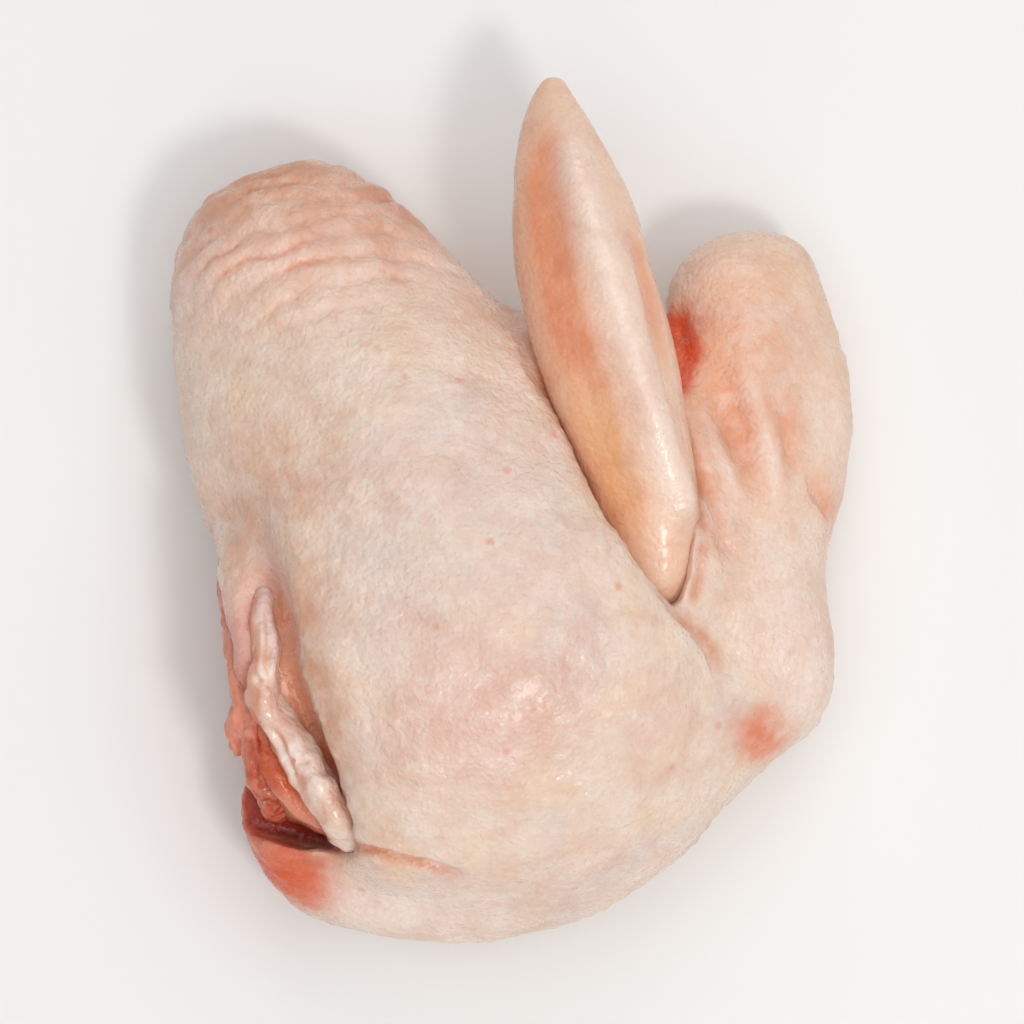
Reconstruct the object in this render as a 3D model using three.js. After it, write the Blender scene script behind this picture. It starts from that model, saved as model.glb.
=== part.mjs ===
// A raw chicken wing, whole and skin side up, folded the way it lies in a tray.
// It is one piece of flesh and skin. The upper arm tapers from its cut shoulder to
// the elbow, the forearm folds back beside it to the wrist, and the pointed tip
// folds up again over the groove between the two. A web of skin joins shoulder and
// wrist, and skin is rolled under the shoulder end, below the cut.
//
// The flesh is a distance field: each lobe is a run of flattened balls along a
// curve, lobes melt into each other where the skin is tight and meet in a crease
// where it is folded, and a net of quads is drawn over the field's surface.
//
// Millimetres. +Z up, +Y from the shoulder end to the elbow end, origin on the
// surface that the wing rests on, under the middle of its box.
import * as THREE from "three";

// Driving dimensions: widths across and depths up
const ELBOW_WIDTH = 29.2;
const ELBOW_DEPTH = 23;
const SHOULDER_WIDTH = 52;
const SHOULDER_DEPTH = 37.5;
const FOREARM_WIDTH = 24;
const FOREARM_DEPTH = 19;
const WRIST_WIDTH = 15.5;
const WRIST_DEPTH = 19;
const WRIST_KNOB = 8; // the end of the bone under the skin
const MUSCLE_WIDTH = 12; // of each soft ridge along the forearm's outer side
const MUSCLE_DEPTH = 14.4;
const WEB_WIDTH = 16;
const WEB_DEPTH = 17; // at the wrist
const CROOK_WIDTH = 19; // of the skin in the crook between the arms
const CROOK_DEPTH = 15;
const TIP_WIDTH = 13.6;
const TIP_DEPTH = 11.5;
const TIP_BASE = 0.5; // the tip's width at the wrist, as a share of its full width
const TIP_POINT = 0.42; // and at its point
const TIP_NARROWS = 0.28; // the share of the tip's length that narrows to the point
const SEAT_WIDTH = 12; // of the fold of skin that the tip rests on
const SEAT_DROP = 5.5; // from the tip's middle line to the fold's
const KEEL = 0.5; // the ridge along the tip, as a share of the tip's width
const SKIN_ROLL = 11; // across the skin rolled under the shoulder
const CUT_REACH = 12; // how far the shoulder cut bites in from the side
const CUT_DEPTH = 29;
const CUT_HEIGHT = 26; // of the middle of the cut
const FAT_STRIP = 6.4; // across the strip of fat that stands in the cut
const SETTLE = 1.3; // how far the belly spreads against what the wing rests on
const UNEVEN = 0.5; // how far the skin swells and sinks along its length

// How softly two surfaces melt into each other
const CREASE = 2.8;
const FOLD = 3.4;
const TIGHT_SKIN = 7;

// The net's mesh size, the box that it is drawn in, and the passes that even it out
const CELL = 2.05;
const BOX_LOW = [-44, -50, -6];
const BOX_HIGH = [42, 52, 42];
const RELAXING = [0.5, -0.52, 0.5, -0.52];

// The height of a lobe's middle line where its belly settles on the surface.
const resting = (depth) => depth / 2 - SETTLE;

// Middle lines, from above: [x, y] with the height last
const ARM_LINE = [
  [-23.3, 24.2, resting(ELBOW_DEPTH)],
  [-17.5, 11.5, resting(28)],
  [-12, 0, resting(33)],
  [-6, -13.5, resting(SHOULDER_DEPTH)],
];
const FOREARM_LINE = [
  [-12, 11, resting(FOREARM_DEPTH)],
  [3, 8, resting(FOREARM_DEPTH)],
  [13.5, 1.5, resting(FOREARM_DEPTH)],
  [19.5, -6, resting(WRIST_DEPTH)],
  [22.8, -14, resting(WRIST_DEPTH)],
];
const MUSCLE_LINES = [
  [
    [16.5, 13, 9.5],
    [19, 5, 11],
    [22, -8, 11],
  ],
  [
    [21, 25, 8.5],
    [23.6, 11, 11],
    [24.3, -8, 10.5],
  ],
  [
    [25.5, 26, 6.5],
    [29.6, 12, 6.5],
    [26, -5, 7.5],
  ],
];
const KNOB_LINE = [
  [26.8, -11.5, 13],
  [26.4, -15.5, 12.5],
];
const WEB_LINE = [
  [22.6, -15.5, 8],
  [15.5, -22.5, 9.5],
  [2, -27, 12],
];
const CROOK_LINE = [
  [6, -14, 6],
  [14, -5, 6],
];
const ROLL_LINE = [
  [-25.6, -29, 13],
  [-22.5, -35, 10.5],
  [-11, -38.3, 8.6],
  [2, -37, 8.6],
  [12, -30.5, 9],
];
const TIP_LINE = [
  [18.6, -15, 14.5],
  [15.4, -5, 19.5],
  [11, 8, 22.3],
  [6.8, 24, 22],
  [4.7, 34, 20.2],
  [4.1, 43.4, 17.6],
];
const KEEL_SHIFT = [1.4, -1, 2.8]; // from the tip's middle line to its ridge's

// The arm's flank is cut back along a line so that the tip lies against it
const FLANK_FROM = [0, 18.3];
const FLANK_TO = [19.5, -13.4];
const FLANK_FLOORS = [18, 13]; // the height of the tip's bed at the line's ends

// The cut's rim, and how far outside it and how high the strip of fat stands
const CUT_RIM = [
  [-26, -5],
  [-23.5, -15],
  [-20.5, -26],
  [-19, -32],
];
const STRIP_OUT = 3.8;
const STRIP_HEIGHTS = [18, 21, 20, 15];

const mix = THREE.MathUtils.lerp;
const ramp = (from, to, x) => THREE.MathUtils.smoothstep(x, from, to);

// The union and the difference of two distances, rounded over a width.
function melt(a, b, width) {
  const overlap = Math.max(width - Math.abs(a - b), 0) / width;
  return Math.min(a, b) - (overlap * overlap * width) / 4;
}
const carve = (body, tool, width) => -melt(-body, tool, width);

// The distance from a point to a ball flattened to its own height.
function flatBall(x, y, z, ball) {
  const dx = (x - ball.x) / ball.across;
  const dy = (y - ball.y) / ball.across;
  const dz = (z - ball.z) / ball.up;
  const near = Math.hypot(dx, dy, dz);
  const slope = Math.hypot(dx / ball.across, dy / ball.across, dz / ball.up);
  return slope > 1e-9 ? (near * (near - 1)) / slope : -Math.min(ball.across, ball.up);
}

// A lobe of flesh along a curve. Width and depth are functions of the share of the
// way along. Balls stand closer together than they are wide, so no step shows.
function lobe(points, width, depth, steps) {
  const curve = new THREE.CatmullRomCurve3(points.map((p) => new THREE.Vector3(...p)));
  const balls = [];
  for (let i = 0; i <= steps; i++) {
    const t = i / steps;
    const { x, y, z } = curve.getPoint(t);
    balls.push({ x, y, z, across: width(t) / 2, up: depth(t) / 2 });
  }
  return (x, y, z) => {
    let best = Infinity;
    for (const ball of balls) best = Math.min(best, flatBall(x, y, z, ball));
    return best;
  };
}

const upperArm = lobe(
  ARM_LINE,
  (t) => mix(ELBOW_WIDTH, SHOULDER_WIDTH, t ** 0.9),
  (t) => mix(ELBOW_DEPTH, SHOULDER_DEPTH, t ** 0.8),
  30,
);

const forearm = lobe(
  FOREARM_LINE,
  (t) => mix(FOREARM_WIDTH, WRIST_WIDTH, ramp(0.45, 1, t)),
  (t) => mix(FOREARM_DEPTH, WRIST_DEPTH, t),
  22,
);

// Soft ridges fan out from the wrist over the forearm's outer side.
const muscles = MUSCLE_LINES.map((points) =>
  lobe(
    points,
    (t) => MUSCLE_WIDTH * (1 - 0.15 * t),
    () => MUSCLE_DEPTH,
    16,
  ),
);

const wristKnob = lobe(
  KNOB_LINE,
  () => WRIST_KNOB,
  () => WRIST_KNOB * 1.1,
  3,
);

const web = lobe(
  WEB_LINE,
  () => WEB_WIDTH,
  (t) => WEB_DEPTH * (1 + 0.45 * t),
  12,
);

const crook = lobe(
  CROOK_LINE,
  () => CROOK_WIDTH,
  () => CROOK_DEPTH,
  6,
);

const skinRoll = lobe(
  ROLL_LINE,
  () => SKIN_ROLL,
  () => SKIN_ROLL * 1.35,
  22,
);

// The tip widens from the wrist and narrows again to its point.
function tipTaper(t) {
  const fromPoint = Math.min((1 - t) / TIP_NARROWS, 1);
  const point = (1 - (1 - fromPoint) ** 2) ** 0.62;
  return Math.max(mix(TIP_BASE, 1, ramp(0, 0.62, t)) * point, TIP_POINT);
}
const tipBody = lobe(
  TIP_LINE,
  (t) => TIP_WIDTH * tipTaper(t),
  (t) => TIP_DEPTH * tipTaper(t),
  44,
);
const tipKeel = lobe(
  TIP_LINE.map((point) => point.map((value, axis) => value + KEEL_SHIFT[axis])),
  (t) => TIP_WIDTH * KEEL * tipTaper(t),
  (t) => TIP_DEPTH * KEEL * 1.25 * tipTaper(t),
  44,
);

const tipSeat = lobe(
  TIP_LINE.slice(0, 4).map(([x, y, z]) => [x, y, z - SEAT_DROP]),
  (t) => SEAT_WIDTH * (1 - 0.45 * t * t),
  () => SEAT_WIDTH,
  16,
);

// Negative beyond the arm's flank and above the tip's bed.
const flank = new THREE.Vector2(FLANK_TO[0] - FLANK_FROM[0], FLANK_TO[1] - FLANK_FROM[1]);
function tipBed(x, y, z) {
  const from = new THREE.Vector2(x - FLANK_FROM[0], y - FLANK_FROM[1]);
  const beyond = flank.cross(from) / flank.length();
  const along = THREE.MathUtils.clamp(flank.dot(from) / flank.lengthSq(), 0, 1);
  return Math.max(-beyond, mix(...FLANK_FLOORS, along) - z);
}

const shoulderCut = lobe(
  CUT_RIM.map(([x, y]) => [x - CUT_REACH, y, CUT_HEIGHT]),
  () => 2 * CUT_REACH,
  () => CUT_DEPTH,
  16,
);
const fatStrip = lobe(
  CUT_RIM.map(([x, y], n) => [x - STRIP_OUT, y, STRIP_HEIGHTS[n]]),
  (t) => FAT_STRIP * mix(0.9, 1.15, t),
  () => FAT_STRIP * 1.5,
  16,
);

// Negative inside the wing, positive outside it. Folds that show are creased, and
// they close up softly underneath and where one lobe grows out of another.
function flesh(x, y, z) {
  const underneath = 1 - ramp(3, 12, z);

  let arm = upperArm(x, y, z) + UNEVEN * Math.sin(0.19 * x + 1.1) * Math.sin(0.16 * y + 0.4);
  arm = carve(arm, tipBed(x, y, z), FOLD);
  arm = carve(arm, shoulderCut(x, y, z), FOLD);
  arm = melt(arm, fatStrip(x, y, z), FOLD);
  const rollGrowsOut = Math.max(ramp(-16, 6, x), underneath);
  arm = melt(arm, skinRoll(x, y, z), mix(CREASE, TIGHT_SKIN, rollGrowsOut));

  let lower = forearm(x, y, z);
  for (const muscle of muscles) lower = melt(lower, muscle(x, y, z), FOLD);
  lower = melt(lower, wristKnob(x, y, z), FOLD);
  lower = melt(lower, tipSeat(x, y, z), TIGHT_SKIN);
  lower = melt(lower, crook(x, y, z), FOLD);

  let body = melt(arm, lower, mix(FOLD, TIGHT_SKIN, underneath));
  body = melt(body, web(x, y, z), TIGHT_SKIN);

  const tip = melt(tipBody(x, y, z), tipKeel(x, y, z), FOLD);
  const tipIsFree = Math.min(ramp(-18, -9, y), ramp(11, 19, z));
  return melt(body, tip, mix(TIGHT_SKIN, CREASE, tipIsFree));
}

// A cell's corners, its edges and faces as numbers of those corners.
const CORNERS = [0, 1, 2, 3, 4, 5, 6, 7].map((n) => [n & 1, (n >> 1) & 1, n >> 2]);
const EDGES = [1, 2, 4].flatMap((step) =>
  CORNERS.flatMap((_, n) => (n & step ? [] : [[n, n + step]])),
);
const FACES = [
  [1, 2, 4],
  [2, 4, 1],
  [4, 1, 2],
].flatMap(([a, b, side]) => [
  [0, a, a + b, b],
  [side, side + a, side + a + b, side + b],
]);

// Whether the solid in a cell touches itself only at an edge or at the middle.
function touchesItself(inside) {
  const diagonal = ([a, b, c, d]) =>
    inside[a] !== inside[b] && inside[a] === inside[c] && inside[b] === inside[d];
  const full = inside.filter(Boolean).length;
  const odd = full === 2 || full === 6 ? inside.indexOf(full === 2) : -1;
  return FACES.some(diagonal) || (odd >= 0 && inside[7 - odd] === inside[odd]);
}

// A field sampled at the corners of a grid of cubic cells.
class Grid {
  constructor(field, low, high, cell) {
    this.low = low;
    this.cell = cell;
    this.count = low.map((from, axis) => Math.ceil((high[axis] - from) / cell) + 1);
    this.values = new Float32Array(this.count[0] * this.count[1] * this.count[2]);
    this.forEachCorner(0, (i, j, k) => {
      this.values[this.index(i, j, k)] = field(...this.place(i, j, k));
    });
  }

  index(i, j, k) {
    return (k * this.count[1] + j) * this.count[0] + i;
  }

  place(i, j, k) {
    return [i, j, k].map((n, axis) => this.low[axis] + n * this.cell);
  }

  // Calls a function for each corner that has others after it, out to a distance.
  forEachCorner(after, call) {
    for (let k = 0; k + after < this.count[2]; k++)
      for (let j = 0; j + after < this.count[1]; j++)
        for (let i = 0; i + after < this.count[0]; i++) call(i, j, k);
  }

  // Blurs the values a little, so that no gap or edge is finer than a cell.
  soften() {
    const strides = [1, this.count[0], this.count[0] * this.count[1]];
    for (const stride of strides) {
      const before = this.values.slice();
      for (let n = stride; n + stride < before.length; n++)
        this.values[n] = (before[n - stride] + 4 * before[n] + before[n + stride]) / 6;
    }
  }

  fill(n) {
    const justInside = -this.cell / 50;
    this.values[n] = Math.min(this.values[n], justInside);
  }

  // Fills the cells where the solid would touch itself only at an edge or a corner,
  // so that the net over it is one clean skin.
  closeTouchingEdges() {
    let changed = true;
    while (changed) {
      changed = false;
      this.forEachCorner(1, (i, j, k) => {
        const cube = CORNERS.map(([a, b, c]) => this.index(i + a, j + b, k + c));
        if (!touchesItself(cube.map((n) => this.values[n] < 0))) return;
        cube.forEach((n) => this.fill(n));
        changed = true;
      });
    }
  }

  // Fills every hollow that has no way out to the grid's first corner.
  fillHollows() {
    const open = new Uint8Array(this.values.length);
    const strides = [1, this.count[0], this.count[0] * this.count[1]];
    const reached = [0];
    open[0] = 1;
    while (reached.length) {
      const here = reached.pop();
      for (const stride of strides)
        for (const next of [here - stride, here + stride])
          if (next >= 0 && next < open.length && !open[next] && this.values[next] >= 0) {
            open[next] = 1;
            reached.push(next);
          }
    }
    open.forEach((isOpen, n) => isOpen || this.fill(n));
  }
}

// Evens the net out: each point moves part of the way to the middle of its
// neighbours, first in and then out again, which keeps the volume.
function relax(points, neighbours) {
  for (const pull of RELAXING) {
    const before = points;
    points = before.map((point, n) =>
      point.map((value, axis) => {
        let sum = 0;
        for (const m of neighbours[n]) sum += before[m][axis];
        return mix(value, sum / neighbours[n].size, pull);
      }),
    );
  }
  return points;
}

// A quad as two triangles, parted along its shorter diagonal.
function split(points, [p, q, r, s]) {
  const apart = (m, n) => Math.hypot(...points[m].map((value, axis) => value - points[n][axis]));
  return apart(p, r) < apart(q, s) ? [p, q, r, p, r, s] : [p, q, s, q, r, s];
}

// One point in each cell that the surface passes through: the middle of the places
// where it crosses the cell's edges.
function pointsOn(grid) {
  const points = [];
  const pointOf = new Map();
  grid.forEachCorner(1, (i, j, k) => {
    const values = CORNERS.map(([a, b, c]) => grid.values[grid.index(i + a, j + b, k + c)]);
    const crossed = EDGES.filter(([m, n]) => values[m] < 0 !== values[n] < 0);
    if (!crossed.length) return;
    const sum = [0, 0, 0];
    for (const [m, n] of crossed) {
      const share = values[m] / (values[m] - values[n]);
      for (let axis = 0; axis < 3; axis++) sum[axis] += mix(CORNERS[m][axis], CORNERS[n][axis], share);
    }
    pointOf.set(grid.index(i, j, k), points.length);
    points.push(
      grid.place(i, j, k).map((from, axis) => from + (grid.cell * sum[axis]) / crossed.length),
    );
  });
  return { points, pointOf };
}

// A quad of points round each edge of the grid that the surface crosses.
function quadsOn(grid, pointOf) {
  const quads = [];
  const steps = [
    [1, 0, 0],
    [0, 1, 0],
    [0, 0, 1],
  ];
  const round = [
    [0, 0],
    [1, 0],
    [1, 1],
    [0, 1],
  ];
  grid.forEachCorner(1, (i, j, k) =>
    steps.forEach((step, axis) => {
      const inside = grid.values[grid.index(i, j, k)] < 0;
      const nextInside = grid.values[grid.index(i + step[0], j + step[1], k + step[2])] < 0;
      if (inside === nextInside) return;
      const b = steps[(axis + 1) % 3];
      const c = steps[(axis + 2) % 3];
      const quad = round.map(([m, n]) => {
        const cell = [i, j, k].map((at, side) => at - m * b[side] - n * c[side]);
        return pointOf.get(grid.index(...cell));
      });
      quads.push(nextInside ? quad.reverse() : quad);
    }),
  );
  return quads;
}

// The field's surface inside a box, as a closed net.
function netOver(field, low, high, cell) {
  const grid = new Grid(field, low, high, cell);
  grid.soften();
  grid.closeTouchingEdges();
  grid.fillHollows();

  const { points, pointOf } = pointsOn(grid);
  const quads = quadsOn(grid, pointOf);
  const neighbours = points.map(() => new Set());
  for (const quad of quads)
    quad.forEach((corner, n) => neighbours[corner].add(quad[(n + 1) % 4]).add(quad[(n + 3) % 4]));
  const relaxed = relax(points, neighbours);

  const geometry = new THREE.BufferGeometry();
  geometry.setAttribute("position", new THREE.Float32BufferAttribute(relaxed.flat(), 3));
  geometry.setIndex(quads.flatMap((quad) => split(relaxed, quad)));
  return geometry;
}

// What hangs under the surface that the wing rests on is pressed flat against it,
// and the middle of the wing's box is put over the origin.
function settle(geometry) {
  const position = geometry.attributes.position;
  for (let i = 0; i < position.count; i++) position.setZ(i, Math.max(position.getZ(i), 0));
  geometry.computeBoundingBox();
  const middle = geometry.boundingBox.getCenter(new THREE.Vector3());
  geometry.translate(-middle.x, -middle.y, 0);
  geometry.computeVertexNormals();
  return geometry;
}

const skin = new THREE.MeshStandardMaterial({
  color: new THREE.Color(0.87, 0.72, 0.63),
  roughness: 0.35,
  metalness: 0,
});

const wing = new THREE.Group();
const whole = new THREE.Mesh(settle(netOver(flesh, BOX_LOW, BOX_HIGH, CELL)), skin);
whole.name = "wing";
wing.add(whole);

export default wing;
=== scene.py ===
"""A raw chicken wing, folded flat and lying skin side up.

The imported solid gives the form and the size. This script remeshes it finely, sculpts
the skin on it (folds, wrinkles, goose bumps), lays the tip, the strip of fat and the
meat of the shoulder cut over it as pieces of their own, and gives each its finish.

Places are in the drawing's millimetres: +X towards the wrist, +Y towards the elbow
and the point of the tip, +Z up from the resting surface. MIDDLE is the middle of the
packed box in that drawing.
"""

from __future__ import annotations

import logging
import math
from dataclasses import dataclass
from enum import Enum

import bpy
import numpy as np
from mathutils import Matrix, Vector, noise
from mathutils.bvhtree import BVHTree
from mathutils.kdtree import KDTree


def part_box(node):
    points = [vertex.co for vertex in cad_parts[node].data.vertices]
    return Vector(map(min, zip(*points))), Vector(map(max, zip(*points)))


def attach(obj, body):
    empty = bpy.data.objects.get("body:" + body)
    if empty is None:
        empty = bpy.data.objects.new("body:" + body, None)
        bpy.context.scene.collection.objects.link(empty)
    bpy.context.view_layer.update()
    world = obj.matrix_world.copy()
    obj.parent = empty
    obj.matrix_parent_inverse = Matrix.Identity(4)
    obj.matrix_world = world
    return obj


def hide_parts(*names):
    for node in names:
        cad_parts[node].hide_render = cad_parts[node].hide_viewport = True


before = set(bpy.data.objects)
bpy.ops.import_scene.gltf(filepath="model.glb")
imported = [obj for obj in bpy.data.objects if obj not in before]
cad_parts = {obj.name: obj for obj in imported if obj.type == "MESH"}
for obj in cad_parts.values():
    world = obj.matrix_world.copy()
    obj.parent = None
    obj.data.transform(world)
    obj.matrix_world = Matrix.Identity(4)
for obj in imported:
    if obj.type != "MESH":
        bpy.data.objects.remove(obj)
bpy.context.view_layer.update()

MM = 0.001
MIDDLE = np.array((-1.51, 0.593, 0.0))
NODE = "wing"
BODY = "root"

LOG = logging.getLogger("wing")

# Farther off than any point of the wing, and higher than its top, in millimetres
FAR_OFF = 1000.0
ABOVE = 100.0

Place = tuple[float, float, float]
Plan = tuple[tuple[float, float], ...]


class Tone(Enum):
    """The colours of raw poultry, and the shade painted into its creases, hollows and edges, as sRGB values
    out of 255.
    """

    CREAM = (232, 209, 190)
    PEACH = (236, 200, 174)
    PINK = (228, 188, 168)
    SALMON = (226, 142, 100)
    TAN = (230, 166, 112)
    YELLOW_FAT = (236, 208, 172)
    WHITE_FAT = (244, 226, 213)
    BLUE_GREY = (212, 197, 193)
    # Painted shade for the elbow's top edge, the flank's edge and the skin edge that rolls over the cut
    EDGE_SHADE_BROWN = (208, 150, 118)
    # Painted shade for creases, wrinkles and the place where the tip lies on the body
    CREASE_SHADE_BROWN = (204, 126, 88)
    MAUVE = (214, 172, 164)
    RAW_PINK = (222, 140, 112)
    # Painted shade for the groove under the skin's edge in the cut
    CUT_GROOVE_SHADE = (226, 154, 118)
    MEAT = (202, 92, 56)
    # Dark meat, and painted shade in pits and hollows
    DEEP_MEAT_AND_SHADE = (148, 44, 30)
    SPOT = (226, 90, 40)

    def linear(self) -> tuple[float, float, float, float]:
        """Turn the colour into light.

        Returns:
            The colour as linear RGBA.
        """
        channels = []
        for value in self.value:
            share = value / 255
            channels.append(share / 12.92 if share <= 0.04045 else ((share + 0.055) / 1.055) ** 2.4)
        return (*channels, 1.0)


def deselect_all() -> None:
    """Leave edit mode and select nothing."""
    if bpy.context.object and bpy.context.object.mode != "OBJECT":
        bpy.ops.object.mode_set(mode="OBJECT")
    bpy.ops.object.select_all(action="DESELECT")


def make_active(piece: bpy.types.Object) -> None:
    """Select one object only and make it the active one.

    Args:
        piece: the object to work on.
    """
    deselect_all()
    piece.select_set(True)
    bpy.context.view_layer.objects.active = piece


def apply_modifier(piece: bpy.types.Object, kind: str, **settings: object) -> None:
    """Add a modifier to a piece and apply it.

    Args:
        piece: the object that gets it.
        kind: Blender's name of the modifier type.
        settings: the modifier's properties.
    """
    make_active(piece)
    modifier = piece.modifiers.new(kind.title(), kind)
    for name, value in settings.items():
        setattr(modifier, name, value)
    bpy.ops.object.modifier_apply(modifier=modifier.name)


def ramp(low: float, high: float, values: np.ndarray) -> np.ndarray:
    """Smooth step from 0 at low to 1 at high.

    Args:
        low: where the step starts.
        high: where it ends.
        values: what is looked up.

    Returns:
        The step's height at each value.
    """
    share = np.clip((values - low) / (high - low), 0.0, 1.0)
    return share * share * (3 - 2 * share)


def smooth_line(points: np.ndarray, steps: int) -> np.ndarray:
    """Draw a smooth line through points, evenly stepped in each span.

    Args:
        points: the points that it goes through, one in each row.
        steps: how many samples each span gets.

    Returns:
        The samples, one in each row.
    """
    ends = np.vstack([2 * points[0] - points[1], points, 2 * points[-1] - points[-2]])
    samples = []
    for before, start, stop, after in zip(ends, ends[1:], ends[2:], ends[3:]):
        for share in np.arange(steps) / steps:
            samples.append(
                0.5
                * (
                    2 * start
                    + (stop - before) * share
                    + (2 * before - 5 * start + 4 * stop - after) * share**2
                    + (3 * start - before - 3 * stop + after) * share**3
                )
            )
    samples.append(points[-1])
    return np.array(samples)


class Clay:
    """A mesh under the sculptor's hands, in the drawing's millimetres."""

    def __init__(self, piece: bpy.types.Object) -> None:
        """Read a piece's mesh.

        Args:
            piece: the object whose mesh is sculpted.
        """
        self.piece = piece
        mesh = piece.data
        self.count = len(mesh.vertices)
        edges = np.empty(len(mesh.edges) * 2, np.int32)
        mesh.edges.foreach_get("vertices", edges)
        self.edges = edges.reshape(-1, 2)
        self.degree = np.bincount(edges, minlength=self.count).astype(float)
        points = np.empty(self.count * 3, np.float32)
        mesh.vertices.foreach_get("co", points)
        self.points = points.reshape(-1, 3).astype(float) / MM + MIDDLE
        self.normals = np.zeros_like(self.points)
        self._read_normals()
        self._tree: BVHTree | None = None

    def _read_normals(self) -> None:
        """Take the normals from the mesh."""
        normals = np.empty(self.count * 3, np.float32)
        self.piece.data.vertices.foreach_get("normal", normals)
        self.normals = normals.reshape(-1, 3).astype(float)

    def write(self) -> None:
        """Put the points back into the mesh and read its new normals."""
        mesh = self.piece.data
        mesh.vertices.foreach_set("co", ((self.points - MIDDLE) * MM).astype(np.float32).ravel())
        mesh.update()
        self._read_normals()

    def push(self, heights: np.ndarray) -> None:
        """Move each point along its normal.

        Args:
            heights: how far out each point goes, in millimetres.
        """
        self.points += self.normals * heights[:, None]
        self.write()

    def _middles(self, values: np.ndarray) -> np.ndarray:
        """The mean of each point's neighbours.

        Args:
            values: one row for each point.

        Returns:
            The means, one row for each point.
        """
        first, second = self.edges.T
        means = np.empty_like(values)
        for axis in range(values.shape[1]):
            column = values[:, axis]
            means[:, axis] = np.bincount(first, column[second], self.count)
            means[:, axis] += np.bincount(second, column[first], self.count)
        return means / self.degree[:, None]

    def smooth(self, rounds: int, mask: np.ndarray | float = 1.0) -> None:
        """Even the surface out.

        Args:
            rounds: how many times each point moves half-way to its neighbours' middle.
            mask: where it happens, from 0 to 1.
        """
        strength = np.broadcast_to(np.asarray(mask, float), (self.count,))[:, None] * 0.5
        for _ in range(rounds):
            self.points += (self._middles(self.points) - self.points) * strength
        self.write()

    def hollows(self, rounds: int) -> np.ndarray:
        """How deep each point lies under its surroundings.

        Args:
            rounds: how wide the surroundings are, as rounds of smoothing.

        Returns:
            The depth in millimetres, negative on a ridge.
        """
        even = self.points
        for _ in range(rounds):
            even = (even + self._middles(even)) / 2
        return np.sum((even - self.points) * self.normals, axis=1)

    def noise(self, size: float, seed: float, stretch: Place = (1, 1, 1)) -> np.ndarray:
        """Soft noise over the surface.

        Args:
            size: the size of its features in millimetres.
            seed: where in the noise the sample is taken.
            stretch: how much longer the features are along each axis.

        Returns:
            A value of about -1 to 1 for each point.
        """
        shifted = self.points / (size * np.array(stretch)) + (seed, 2.3 * seed, -1.7 * seed)
        return np.fromiter((noise.noise(Vector(p)) for p in shifted), float, self.count)

    def settle_tree(self) -> None:
        """Build the search tree that lines are dropped on, over the surface as it is now."""
        faces = [tuple(face.vertices) for face in self.piece.data.polygons]
        self._tree = BVHTree.FromPolygons([Vector(p) for p in self.points], faces)

    def drop(self, line: np.ndarray) -> np.ndarray:
        """Lay a line that is drawn from above on the surface.

        Args:
            line: its samples as x and y, in millimetres.

        Returns:
            The samples that meet the surface, with their height.
        """
        if self._tree is None:
            self.settle_tree()
        found = []
        for x, y in line:
            place, _, _, _ = self._tree.ray_cast(Vector((x, y, ABOVE)), Vector((0, 0, -1)))
            if place is not None:
                found.append(tuple(place))
        return np.array(found)

    def paint(self, name: str, values: np.ndarray) -> None:
        """Store a value or a colour for each point as an attribute of the mesh.

        Args:
            name: the attribute's name.
            values: one number, or four for a colour, for each point.
        """
        colour = values.ndim == 2
        kind = "FLOAT_COLOR" if colour else "FLOAT"
        layer = self.piece.data.attributes.new(name, kind, "POINT")
        layer.data.foreach_set("color" if colour else "value", values.astype(np.float32).ravel())

    def finish(self, tint: np.ndarray, bump: np.ndarray | float, skin: np.ndarray | float) -> None:
        """Store what the finishes read.

        Args:
            tint: the colour as linear RGBA, for each point.
            bump: 1 on the tops of the goose bumps, 0 between them.
            skin: 1 on skin, 0 on bare meat.
        """
        self.paint("tint", tint)
        self.paint("bump", np.broadcast_to(bump, (self.count,)))
        self.paint("skin", np.broadcast_to(skin, (self.count,)))


@dataclass(frozen=True)
class Patch:
    """A soft-edged region of the surface, as an ellipsoid."""

    centre: Place
    radii: Place
    turn: float = 0.0
    edge: float = 0.35
    fray: float = 0.0

    def mask(self, clay: Clay) -> np.ndarray:
        """How much of each point lies inside.

        Args:
            clay: the surface.

        Returns:
            1 inside, 0 outside, soft between.
        """
        angle = math.radians(self.turn)
        x, y, z = (clay.points - self.centre).T
        along = x * math.cos(angle) + y * math.sin(angle)
        across = y * math.cos(angle) - x * math.sin(angle)
        length, breadth, height = self.radii
        reach = np.sqrt((along / length) ** 2 + (across / breadth) ** 2 + (z / height) ** 2)
        if self.fray:
            reach += self.fray * (clay.noise(3.2, 41.0) + 0.5 * clay.noise(1.2, 43.0))
        return 1 - ramp(1 - self.edge, 1 + self.edge, reach)


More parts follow.
